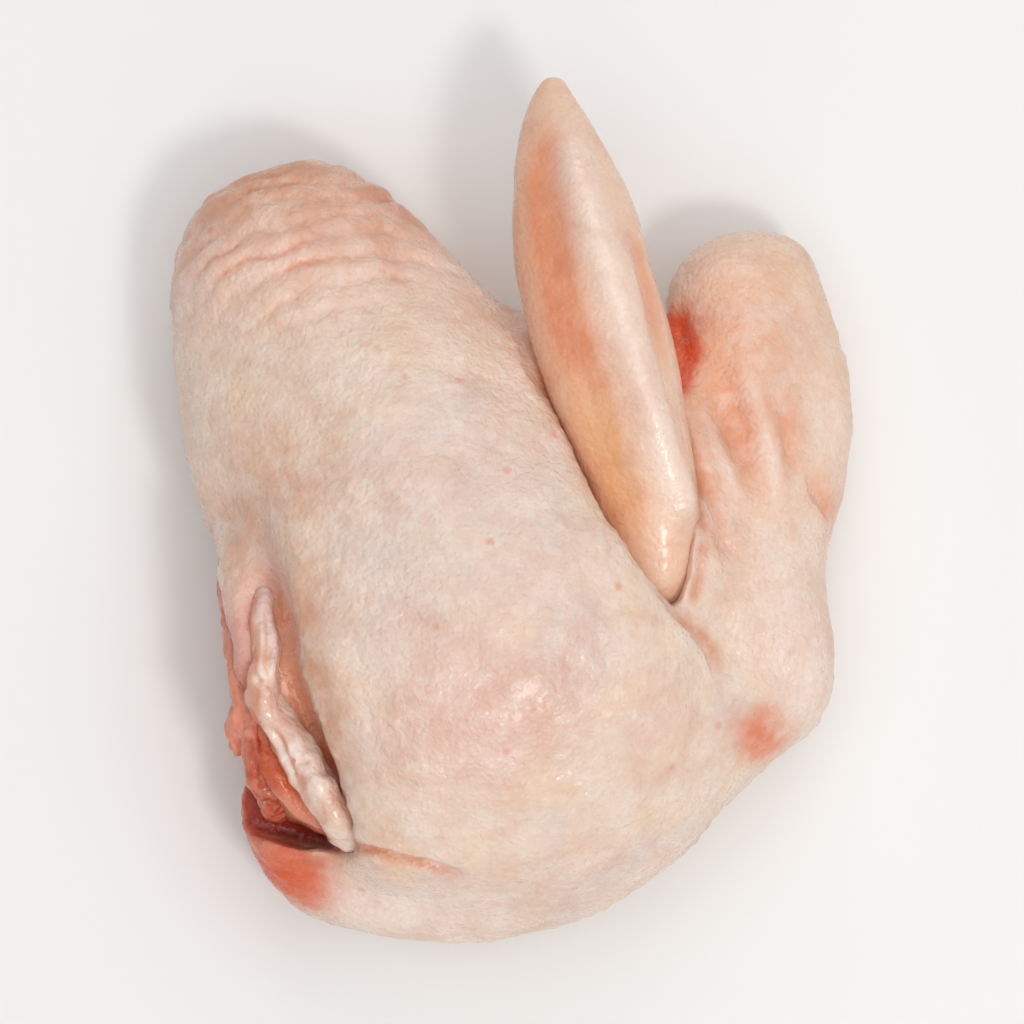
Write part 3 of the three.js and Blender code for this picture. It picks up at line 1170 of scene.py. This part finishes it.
@dataclass
class WingBody(Dressed):
    """The upper arm, the forearm, the wrist and the web of skin between them."""

    tip: Tip
    strip: FatStrip
    finish: FleshFinish = FleshFinish("moist skin")
    voxel: float = 0.45
    tip_bed_depth: float = 1.6
    strip_bed_depth: float = 1.4
    elbow_middle: tuple[float, float] = (-15.0, -2.0)
    elbow_pitch: float = 2.4
    elbow_depth: float = 0.85
    forearm_pitch: float = 2.6
    forearm_depth: float = 0.2
    bed: Ledge = Ledge(
        edge=(
            (-0.6, 19.4), (0.3, 17.4), (2.05, 12.8), (3.46, 8.6), (4.9, 4.9), (6.7, 1.1),
            (9.6, -3.6), (12.4, -7.3), (14.7, -10.0), (17.1, -11.8), (18.9, -13.2),
        ),
        floor=((-12.5, 20.5), (-6, 20.2), (0, 20.8), (8, 22.0), (20, 22.4)),
        far_side=(
            (-12.5, 14.2), (-9.5, 15.4), (-6, 16.6), (-2, 16.9), (5, 16.4), (13, 15.2), (22, 13.2),
        ),
    )
    cut: Ledge = Ledge(
        edge=(
            (-19.0, -33.4), (-18.8, -31.0), (-18.8, -28.5), (-19.2, -25.8), (-20.8, -22.5),
            (-22.2, -18.7), (-23.1, -15.5), (-23.8, -10.6), (-25.1, -6.6), (-26.3, -3.0),
        ),
        floor=(
            (-30.6, 40.0), (-29.8, 28.0), (-28.4, 24.6), (-26.0, 22.4), (-23.0, 21.8),
            (-16.0, 24.0), (-9.0, 24.2), (-6.0, 25.6), (-3.0, 29.0),
        ),
        roundness=3.0,
    )
    roll: Ledge = Ledge(
        edge=(
            (-34.5, -31.0), (-31, -31.6), (-28, -32.3), (-25, -33.2), (-22, -33.9), (-19.4, -34.3),
            (-17.6, -34.4),
        ),
        floor=((-35, 13.0), (-32.0, 13.0), (-29.0, 13.4), (-27.4, 15.0), (-26.0, 18.5)),
        far_side=(
            (-36.0, -19.0), (-33.8, -19.2), (-32.7, -21.8), (-31.4, -24.2), (-29.4, -25.8),
            (-27.4, -27.4), (-26.4, -34.0),
        ),
        roundness=1.8,
    )

    # Regions that are coloured, eased or cut apart from the rest
    elbow: Patch = Patch((-23.5, 31, 12), (16, 13, 24), edge=0.5)
    # Painted shade along the top edge of the elbow
    elbow_top: Patch = Patch((-21.5, 38, 10), (19, 9, 24), edge=0.7, fray=0.15)
    # Painted shadow in a band along the flank's edge beside the tip
    flank_edge: Stroke = Stroke(
        ((-9, 30), (-4.5, 25), (-1.4, 20.5), (1.2, 14.5), (4.2, 6), (8.5, -2), (13, -8)),
        width=1.2, depth=0.0, fade=0.1,
    )
    forearm: Patch = Patch((26, 10, 8), (12, 26, 18), edge=0.3)
    forearm_salmon: Patch = Patch((20.4, 13, 14), (6.5, 11, 16), turn=-12, edge=0.7, fray=0.2)
    forearm_pale: Patch = Patch((26, -6, 12), (4.5, 7, 14), edge=0.7, fray=0.2)
    pale_bulge: Patch = Patch((31.5, 9.5, 12), (3.2, 6, 12), edge=0.7, fray=0.2)
    wrist_knob: Patch = Patch((28.4, -16.6, 14), (3.2, 4.4, 8), edge=0.7, fray=0.2)
    wrist_spot: Patch = Patch((23.9, -22.2, 13), (3.1, 2.7, 8.5), edge=0.7, fray=0.2)
    pocket_ease: Patch = Patch((16.6, 17, 17), (4.5, 7, 6), edge=0.6)
    base_ease: Patch = Patch((17.8, -4, 20), (3.4, 8, 6), edge=0.5)
    web_ease: Patch = Patch((18.2, -10.6, 20), (3.6, 3.2, 8), edge=0.6)
    hollow_ease: Patch = Patch((-30, -29.6, 15), (4.6, 4.6, 10), edge=0.4)
    red_pocket: Patch = Patch((15.3, 17.6, 15), (2.7, 5.0, 9.5), turn=-4, edge=0.4, fray=0.15)
    crown: Patch = Patch((-8.5, -4, 33), (12, 14, 14), edge=0.8, fray=0.3)
    # Pinker and darker on the lower lobe
    low_pink: Patch = Patch((-5, -21.5, 28), (8, 6.5, 22), edge=0.8, fray=0.3)
    # Painted shade on the lobe's left side
    left_side_shade: Patch = Patch((-26, 2, 16), (5, 9, 16), edge=0.8, fray=0.3)
    cut_face: Patch = Patch((-30, -16, 12.4), (8.4, 14.6, 8.6), edge=0.1, fray=0.22)
    roll_meat: Patch = Patch((-27.4, -35.6, 14), (8.2, 3.8, 26), turn=-20, edge=0.3, fray=0.3)
    roll_red: Patch = Patch((-25.2, -37.2, 14), (5.4, 2.4, 26), turn=-16, edge=0.8, fray=0.25)
    roll_pale: Patch = Patch((-10.6, -39, 11), (9.6, 4.4, 10), turn=-4, edge=0.4, fray=0.2)
    hollow: Patch = Patch((-30.0, -29.6, 12), (5.4, 3.0, 12), turn=-20, edge=0.3, fray=0.2)

    # Creases and soft ridges, drawn from above
    hollow_end: Stroke = Stroke(
        ((-27.5, -30.8), (-24.8, -31.8), (-22.1, -32.9), (-19.2, -33.7), (-16.6, -34.5)),
        width=0.7, depth=0.9, lips=0.0, fade=0.45,
    )
    roll_crease: Stroke = Stroke(
        ((-20.2, -33.2), (-16.5, -34.5), (-13.2, -35.4), (-9.6, -36.3), (-4.6, -37.9)),
        width=0.6, depth=1.3, fade=0.3,
    )
    rim_lip: Stroke = Stroke(
        ((-24.3, -3), (-22.9, -9), (-21.9, -15.5), (-20.9, -19.5), (-19.4, -24), (-17.4, -30)),
        width=1.2, depth=-0.7, lips=0, fade=0.25,
    )
    rim_groove: Stroke = Stroke(
        (
            (-26.8, -3.6), (-26.0, -7), (-24.8, -10.6), (-24.1, -15.5), (-23.1, -18.8),
            (-21.7, -22.4), (-19.8, -27.6),
        ),
        width=1.15, depth=0.6, lips=0, fade=0.14,
    )
    rim_end: Stroke = Stroke(
        ((-20.6, -24.6), (-19.3, -28), (-19.0, -31.5)), width=0.6, depth=0.8, lips=0.1, fade=0.3
    )
    fold_line: Stroke = Stroke(
        ((16.2, 9.4), (17.6, 4.6), (19.4, 0.6), (20.4, -3.2), (21.6, -5.6)),
        width=0.7, depth=0.6, fade=0.35,
    )
    pocket_dent: Stroke = Stroke(
        ((15.6, 22.5), (15.9, 18), (16.2, 12.5)), width=1.5, depth=1.3, lips=0.0, fade=0.25
    )
    folds: tuple[Stroke, ...] = (
        Stroke(
            ((20.6, 17.5), (21.4, 11), (22.6, 7), (23.9, 3.6)),
            width=2.1, depth=0.8, lips=0.1, fade=0.4,
        ),
        Stroke(
            ((26.2, 15), (26.8, 10.8), (27.2, 7), (26.6, 4.2)),
            width=1.1, depth=0.6, lips=0.15, fade=0.4,
        ),
        Stroke(((17.4, 1.6), (19.0, -1.8), (21, -5.2)), width=0.9, depth=0.4, fade=0.4),
        Stroke(
            ((28.6, 5.8), (30.8, 2.8), (32.2, 1.0), (33.6, 0.2)),
            width=1.0, depth=0.9, lips=0.15, fade=0.35,
        ),
    )
    web_fall: Stroke = Stroke(
        ((17.0, -9.0), (19.6, -12.2), (21.2, -15.5), (22.4, -19.0)),
        width=2.4, depth=0.8, lips=0.0, fade=0.35,
    )
    pale_folds: tuple[Stroke, ...] = (
        Stroke(
            ((17.8, 13), (19.4, 8.5), (21.2, 3.6), (23.2, -1)),
            width=1.3, depth=-0.4, lips=0.0, fade=0.35,
        ),
        Stroke(
            ((21.4, 20), (23.0, 14), (24.9, 8.5), (25.8, 4), (26.2, -1.5)),
            width=1.5, depth=-0.6, lips=0.0, fade=0.35,
        ),
    )
    tip_edge: Stroke = Stroke(
        ((17.9, -1.0), (17.9, -5.0), (17.2, -8.2), (16.6, -10.0)),
        width=0.9, depth=0.5, lips=0.0, fade=0.3,
    )
    base_crease: Stroke = Stroke(
        ((12.5, -7.9), (14.7, -10.2), (17.1, -12.0), (18.7, -13.5), (19.6, -15.6), (20.4, -18.4)),
        width=0.75, depth=1.0, lips=0.12, fade=0.4,
    )

    def build(self) -> bpy.types.Object:
        """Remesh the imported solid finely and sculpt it.

        Returns:
            The piece.
        """
        piece = self._fine_copy()
        clay = Clay(piece)
        clay.smooth(5)
        self._sink_beds(clay)
        self.bed.carve(clay)
        self.cut.carve(clay)
        self.roll.carve(clay)
        clay.settle_tree()
        for stroke in (self.hollow_end, self.rim_groove, self.rim_lip):
            stroke.press(clay)
        clay.push(-0.9 * self.cut_face.mask(clay) - 0.5 * self.roll_meat.mask(clay))
        apply_modifier(piece, "REMESH", mode="VOXEL", voxel_size=self.voxel * MM, use_smooth_shade=True)

        clay = Clay(piece)
        clay.smooth(3)
        eased = (self.pocket_ease, self.base_ease, self.web_ease, self.hollow_ease)
        clay.smooth(14, np.max([patch.mask(clay) for patch in eased], axis=0))
        clay.settle_tree()
        self.pocket_dent.press(clay)
        self._swell(clay)
        clay.settle_tree()
        creases = (self.rim_end, self.roll_crease, self.tip_edge)
        creases += (self.web_fall, self.base_crease, self.fold_line)
        for stroke in (*creases, *self.folds, *self.pale_folds):
            stroke.press(clay)
        self._wrinkle_elbow(clay)
        self._wrinkle_forearm(clay)
        skin = self._skin(clay)
        clay.push(0.08 * clay.noise(1.5, 4.9, (2.6, 0.9, 1.4)) * skin)
        clay.push(0.2 * clay.noise(1.1, 6.4, (4.0, 1.0, 1.0)) * (1 - skin))
        clay.smooth(1)
        bumps = GooseBumps().raise_on(clay, self._plucked(clay))
        clay.push(0.05 * clay.noise(0.9, 3.1))
        clay.points[:, 2] = np.maximum(clay.points[:, 2], 0)
        clay.write()
        clay.settle_tree()
        self._paint(clay, bumps)
        return piece

    def _fine_copy(self) -> bpy.types.Object:
        """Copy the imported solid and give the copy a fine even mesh.

        Returns:
            The copy.
        """
        deselect_all()
        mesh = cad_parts[NODE].data.copy()
        mesh.materials.clear()
        piece = bpy.data.objects.new("wing_body", mesh)
        bpy.context.scene.collection.objects.link(piece)
        mesh.name = piece.name
        make_active(piece)
        bpy.ops.object.mode_set(mode="EDIT")
        bpy.ops.mesh.select_all(action="SELECT")
        bpy.ops.mesh.remove_doubles(threshold=MM / 100)
        bpy.ops.mesh.tris_convert_to_quads()
        bpy.ops.object.mode_set(mode="OBJECT")
        apply_modifier(piece, "SUBSURF", levels=2, render_levels=2)
        apply_modifier(piece, "REMESH", mode="VOXEL", voxel_size=self.voxel * MM, use_smooth_shade=True)
        return piece

    def _sink_beds(self, clay: Clay) -> None:
        """Lower the surface under the tip and under the fat, so that they stand clear.

        Args:
            clay: the surface.
        """
        distance = self.tip.body.distance(clay)
        free = ramp(27, 33, clay.points[:, 1])
        depth = self.tip_bed_depth + 1.8 * free
        clay.push(-depth * (1 - ramp(0.2 + free, 1.6 + 2 * free, distance)))
        clay.smooth(2, 1 - ramp(0.5, 2.6, distance))
        distance = self.strip.body.distance(clay)
        clay.push(-self.strip_bed_depth * (1 - ramp(0.2, 1.4, distance)))
        clay.smooth(2, 1 - ramp(0.5, 2.4, distance))

    def _swell(self, clay: Clay) -> None:
        """Give the flesh its soft unevenness.

        Args:
            clay: the surface.
        """
        rise = 0.6 * clay.noise(13, 1.7) + 0.3 * clay.noise(6, 5.2) + 0.14 * clay.noise(3, 9.4)
        clay.push(rise * ramp(0.5, 4, clay.points[:, 2]))

    def _wrinkle_elbow(self, clay: Clay) -> None:
        """Press the fine arcs of loose skin into the elbow.

        Args:
            clay: the surface.
        """
        out = np.linalg.norm(clay.points[:, :2] - self.elbow_middle, axis=1)
        phase = out / self.elbow_pitch + 0.8 * clay.noise(8, 2.2) + 0.3 * clay.noise(3, 8.8)
        patchy = 0.35 + 0.65 * ramp(-0.4, 0.3, clay.noise(5, 4.4, (2.0, 1.0, 1.0)))
        clay.push(-self.elbow_depth * (creased(phase, 0.85) - 0.35) * self.elbow.mask(clay) * patchy)

    def _wrinkle_forearm(self, clay: Clay) -> None:
        """Press fine cross wrinkles into the forearm and the wrist.

        Args:
            clay: the surface.
        """
        phase = clay.points[:, 1] / self.forearm_pitch + 1.3 * clay.noise(6, 6.1)
        patchy = ramp(-0.1, 0.5, clay.noise(6, 7.7))
        clay.push(-self.forearm_depth * (creased(phase, 0.8) - 0.35) * self.forearm.mask(clay) * patchy)

    def _skin(self, clay: Clay) -> np.ndarray:
        """Where the surface is skin, and not cut meat.

        Args:
            clay: the surface.

        Returns:
            1 on skin, 0 on bare meat, soft between.
        """
        bare = [patch.mask(clay) for patch in (self.hollow, self.roll_meat, self.red_pocket)]
        bare += [self.rim_groove.mask(clay, 1.5), self._cut_open(clay), self._pit(clay)]
        return 1 - np.clip(np.max(bare, axis=0), 0, 1)

    def _cut_open(self, clay: Clay) -> np.ndarray:
        """Where the shoulder cut shows bare meat."""
        above = ramp(4.6, 5.6, clay.points[:, 2] + 1.2 * clay.noise(3, 37.0))
        return np.maximum(self.cut.mask(clay) * above, self.cut_face.mask(clay))

    def _pit(self, clay: Clay) -> np.ndarray:
        """Where the dark hollow above the roll lies.

        Args:
            clay: the surface.

        Returns:
            1 in the hollow, 0 outside, soft between.
        """
        _, y, z = clay.points.T
        open_side = 1 - ramp(0.3, 0.8, -clay.normals[:, 0])
        return self.roll.mask(clay) * (1 - ramp(-28.5, -26.5, y)) * (1 - ramp(16.0, 19.5, z)) * open_side

    def _plucked(self, clay: Clay) -> np.ndarray:
        """How strong the goose bumps are: full on the back of the upper arm, less elsewhere.

        Args:
            clay: the surface.

        Returns:
            0 where there are none, up to 1.2 where they are strongest.
        """
        strength = 0.7 + 0.5 * clay.noise(9, 12.5)
        strength *= 1 - 0.6 * self.forearm.mask(clay)
        strength *= 1 - 0.6 * self.elbow.mask(clay)
        strength *= 1 - 0.9 * self.roll_pale.mask(clay)
        strength *= ramp(0.3, 3, clay.points[:, 2])
        return np.clip(strength, 0, 1.2) * self._skin(clay)

    def _paint(self, clay: Clay, bumps: np.ndarray) -> None:
        """Lay the colours of the regions on the skin, with painted shade in its creases and along its
        edges.

        Args:
            clay: the surface.
            bumps: where the goose bumps are.
        """
        y = clay.points[:, 1]
        elbow, forearm = self.elbow.mask(clay), self.forearm.mask(clay)
        low_pink, red_pocket = self.low_pink.mask(clay), self.red_pocket.mask(clay)
        wrist_spot, roll_meat = self.wrist_spot.mask(clay), self.roll_meat.mask(clay)
        fold = nearest_of(self.folds, clay, 2.0)
        pale_fold = nearest_of(self.pale_folds, clay, 1.2)
        edges = nearest_of((self.tip_edge, self.base_crease, self.fold_line), clay, 0.8)
        # Painted contact shade on the body, within a millimetre of the tip
        tip_contact_shade = 1 - ramp(0.0, 1.0, self.tip.body.distance(clay))
        streaks = ramp(-0.1, 0.4, clay.noise(1.0, 27.0, (5, 1, 1)))
        cut_open = self._cut_open(clay)
        above_rim = ramp(-30.0, -27.6, y)
        in_cut = np.clip(self.cut.mask(clay) + 0.1, 0, 1)
        layers = [
            (0.5 * ramp(-0.1, 0.6, clay.noise(11, 21.0)), Tone.PINK),
            (0.4 * ramp(0.0, 0.6, clay.noise(5, 14.0)), Tone.YELLOW_FAT),
            (0.4 * ramp(0.1, 0.6, clay.noise(8, 31.0)), Tone.BLUE_GREY),
            (0.85 * elbow, Tone.PINK),
            # Painted shade on the elbow's top edge
            (0.95 * self.elbow_top.mask(clay), Tone.EDGE_SHADE_BROWN),
            # Painted shadow along the flank's edge
            (0.3 * self.flank_edge.mask(clay, 2.2), Tone.EDGE_SHADE_BROWN),
            (0.4 * self.crown.mask(clay), Tone.BLUE_GREY),
            # Pinker and darker on the lower lobe
            (0.85 * low_pink, Tone.PINK),
            (0.35 * low_pink, Tone.MAUVE),
            # Painted shade on the lobe's left side
            (0.42 * self.left_side_shade.mask(clay), Tone.SALMON),
            # Painted shade on the skin edge that rolls over the cut's groove
            (0.8 * self.rim_lip.mask(clay, 3.0), Tone.EDGE_SHADE_BROWN),
            (0.55 * forearm, Tone.PEACH),
            (0.55 * self.forearm_salmon.mask(clay), Tone.SALMON),
            (0.14 * forearm, Tone.TAN),
            (0.6 * self.forearm_pale.mask(clay), Tone.WHITE_FAT),
            (0.35 * self.pale_bulge.mask(clay), Tone.WHITE_FAT),
            # Painted shade in the forearm's fold valleys, and painted light on its raised folds
            (0.5 * fold, Tone.SALMON),
            (0.5 * pale_fold, Tone.WHITE_FAT),
            (np.clip(1.5 * red_pocket, 0, 1), Tone.SPOT),
            (0.25 * red_pocket, Tone.DEEP_MEAT_AND_SHADE),
            (0.8 * self.wrist_knob.mask(clay), Tone.WHITE_FAT),
            (0.9 * wrist_spot, Tone.SALMON),
            (0.4 * wrist_spot, Tone.SPOT),
            # Painted shade: salmon laid into the body's hollows, the deeper the darker
            (0.4 * ramp(0.05, 0.5, clay.hollows(14)), Tone.SALMON),
            # Painted shade in the hollows of the elbow's wrinkles
            (0.6 * elbow * ramp(0.04, 0.2, clay.hollows(5)), Tone.CREASE_SHADE_BROWN),
            # Painted shade where the tip lies on the body
            (0.85 * tip_contact_shade, Tone.CREASE_SHADE_BROWN),
            # Painted shade along the creases at the tip's base and the forearm's fold line
            (0.75 * edges, Tone.CREASE_SHADE_BROWN),
            # Painted shade in the crease at the lower end of the cut's rim
            (0.5 * self.rim_end.mask(clay, 1.0), Tone.CREASE_SHADE_BROWN),
            (roll_meat, Tone.RAW_PINK),
            (0.85 * self.roll_red.mask(clay), Tone.SPOT),
            (0.5 * roll_meat * streaks, Tone.MEAT),
            (0.85 * self.roll_pale.mask(clay), Tone.WHITE_FAT),
            (cut_open, Tone.RAW_PINK),
            (0.7 * cut_open * ramp(-20, -13, y), Tone.MAUVE),
            (cut_open * (1 - ramp(-24, -17, y)) * above_rim, Tone.MEAT),
            # Painted shade in the groove between the skin's edge and the strip of fat
            (0.9 * self.rim_groove.mask(clay, 3.2) * in_cut, Tone.CUT_GROOVE_SHADE),
            (0.7 * self.hollow.mask(clay), Tone.MEAT),
            # Painted shade in the pit above the roll and along its crease, over dark red meat
            (0.95 * np.maximum(self.hollow_end.mask(clay, 1.1), self._pit(clay)), Tone.DEEP_MEAT_AND_SHADE),
            # Painted shade in the crease above the roll
            (0.9 * self.roll_crease.mask(clay, 0.6), Tone.CREASE_SHADE_BROWN),
        ]
        clay.finish(tinted(clay, Tone.CREAM, layers), bumps, self._skin(clay))


@dataclass(frozen=True)
class Lamp:
    """A soft square light that points at the middle of the wing's base, sized in metres."""

    name: str
    place: Place
    size: float
    power: float

    def hang(self) -> None:
        """Add the light to the scene."""
        light = bpy.data.lights.new(self.name, "AREA")
        light.size = self.size
        light.energy = self.power
        lamp = bpy.data.objects.new(self.name, light)
        bpy.context.scene.collection.objects.link(lamp)
        lamp.location = self.place
        lamp.rotation_euler = (-Vector(self.place)).to_track_quat("-Z", "Y").to_euler()


@dataclass
class Studio:
    """The pale floor, the soft lights and the camera above the wing.

    Lengths are in metres, but those of the lens and its sensor in millimetres.
    """

    elevation: float = 84.0
    frame_width: float = 0.106
    lens: float = 180.0
    sensor: float = 36.0
    lamps: tuple[Lamp, ...] = (
        Lamp("key", (0.35, -0.45, 0.95), 0.18, 2.8),
        Lamp("overhead", (0.1, -0.1, 1.1), 1.5, 5.75),
        Lamp("back", (0.1, 0.9, 0.7), 0.9, 3.0),
        Lamp("front", (0.15, -0.9, 0.5), 0.8, 1.2),
    )
    sky_colour: tuple[float, float, float, float] = (0.96, 0.97, 1.0, 1)
    sky_strength: float = 0.4
    floor_colour: tuple[float, float, float, float] = (0.86, 0.85, 0.83, 1)
    floor_roughness: float = 0.6
    floor_width: float = 6.0
    floor_height: float = -0.00005

    def build(self) -> None:
        """Set the stage."""
        self._floor()
        self._lights()
        self._camera()

    def _floor(self) -> None:
        """A wide pale floor."""
        deselect_all()
        bpy.ops.mesh.primitive_plane_add(size=self.floor_width, location=(0, 0, self.floor_height))
        floor = bpy.context.object
        floor.name = "floor"
        material = bpy.data.materials.new("pale floor")
        material.use_nodes = True
        shader = material.node_tree.nodes["Principled BSDF"]
        shader.inputs["Base Color"].default_value = self.floor_colour
        shader.inputs["Roughness"].default_value = self.floor_roughness
        floor.data.materials.append(material)

    def _lights(self) -> None:
        """A key light from the front right, wide soft ones around it and a pale sky."""
        for lamp in self.lamps:
            lamp.hang()
        world = bpy.context.scene.world or bpy.data.worlds.new("sky")
        bpy.context.scene.world = world
        world.use_nodes = True
        background = world.node_tree.nodes["Background"]
        background.inputs["Color"].default_value = self.sky_colour
        background.inputs["Strength"].default_value = self.sky_strength

    def _camera(self) -> None:
        """A camera nearly above the wing, from the front."""
        low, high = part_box(NODE)
        centre = (low + high) / 2
        data = bpy.data.cameras.new("camera")
        data.lens = self.lens
        data.sensor_width = self.sensor
        camera = bpy.data.objects.new("camera", data)
        bpy.context.scene.collection.objects.link(camera)
        tilt = math.radians(self.elevation)
        back = Vector((0, -math.cos(tilt), math.sin(tilt)))
        distance = self.frame_width * self.lens / self.sensor
        camera.location = centre + back * distance
        camera.rotation_euler = (-back).to_track_quat("-Z", "Y").to_euler()
        bpy.context.scene.camera = camera
        bpy.context.scene.view_settings.view_transform = "Standard"


def main() -> None:
    """Build the wing's pieces, dress them and set the stage."""
    logging.basicConfig(level=logging.INFO, format="%(message)s")
    groups = SkinGroups()
    tip, strip = Tip(), FatStrip()
    for maker in (WingBody(tip, strip), tip, strip, CutMeat()):
        maker.dress(maker.build(), groups)
    Studio().build()


if __name__ == "__main__":
    main()
